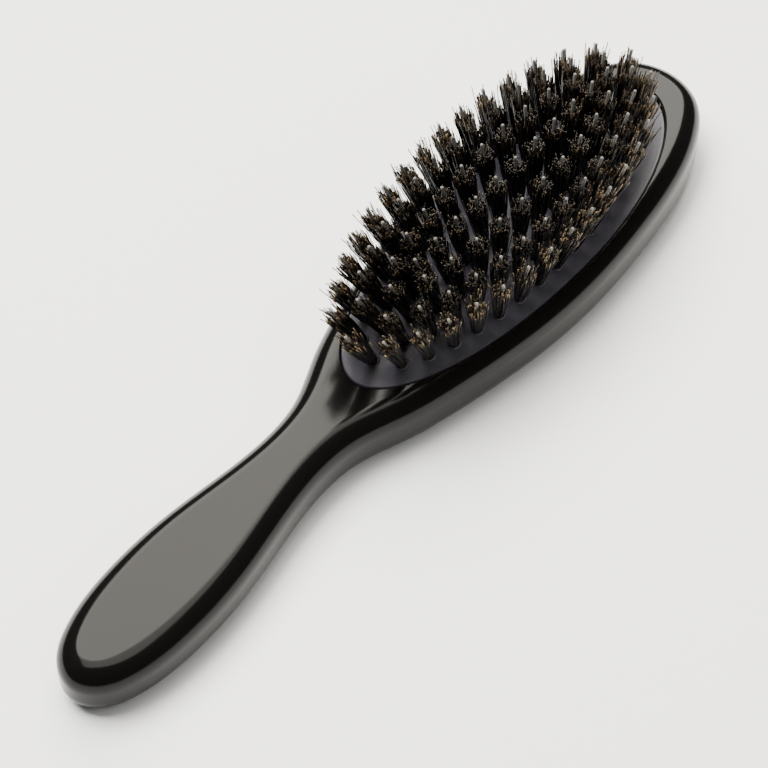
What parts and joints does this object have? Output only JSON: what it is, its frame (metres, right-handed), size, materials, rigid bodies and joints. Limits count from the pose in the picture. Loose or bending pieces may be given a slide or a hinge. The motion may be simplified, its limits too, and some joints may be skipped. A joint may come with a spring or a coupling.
{
  "type": "paddle brush",
  "caption": "Black lacquered hairbrush with an oval head, domed rubber cushion and fanned bristle tufts set round nylon pins; the cushion gives under pressure.",
  "frame": {"origin": "middle of the length and width, on the rest face of the back", "axes": "+X along the length from the handle end to the toe, +Z out of the head along the bristles, +Y across; left and right halves mirror across XZ"},
  "size_m": [0.225, 0.0504, 0.0389],
  "materials": {
    "black_lacquer": "high gloss lacquer",
    "black_rubber": "satin",
    "bristle": "natural bristle, dark with pale split tips",
    "pin_nylon": "gloss, smoky clear",
    "plug_nylon": "satin"
  },
  "bodies": {
    "handle": {"handle_body": "black_lacquer", "cushion_pad": "black_rubber"},
    "group_centre": {"tufts_centre": "bristle", "plugs_centre": "plug_nylon", "pins_centre": "pin_nylon"},
    "group_ring_1": {"tufts_ring_1": "bristle", "plugs_ring_1": "plug_nylon", "pins_ring_1": "pin_nylon"},
    "group_ring_2": {"tufts_ring_2": "bristle", "plugs_ring_2": "plug_nylon", "pins_ring_2": "pin_nylon"},
    "group_ring_3": {"tufts_ring_3": "bristle", "plugs_ring_3": "plug_nylon", "pins_ring_3": "pin_nylon"}
  },
  "joints": [
    {"name": "press_centre", "type": "slide", "parent": "handle", "child": "group_centre", "axis": [0, 0, -1], "range_m": [0, 0.0026], "stiffness_N_per_m": 3000, "deforming": ["cushion_pad"]},
    {"name": "press_ring_1", "type": "slide", "parent": "handle", "child": "group_ring_1", "axis": [0, 0, -1], "range_m": [0, 0.00257]},
    {"name": "press_ring_2", "type": "slide", "parent": "handle", "child": "group_ring_2", "axis": [0, 0, -1], "range_m": [0, 0.00209]},
    {"name": "press_ring_3", "type": "slide", "parent": "handle", "child": "group_ring_3", "axis": [0, 0, -1], "range_m": [0, 0.00129]}
  ],
  "couplings": [
    {"joint": "press_ring_1", "follows": "press_centre", "ratio": 0.96},
    {"joint": "press_ring_2", "follows": "press_centre", "ratio": 0.78},
    {"joint": "press_ring_3", "follows": "press_centre", "ratio": 0.48}
  ]
}
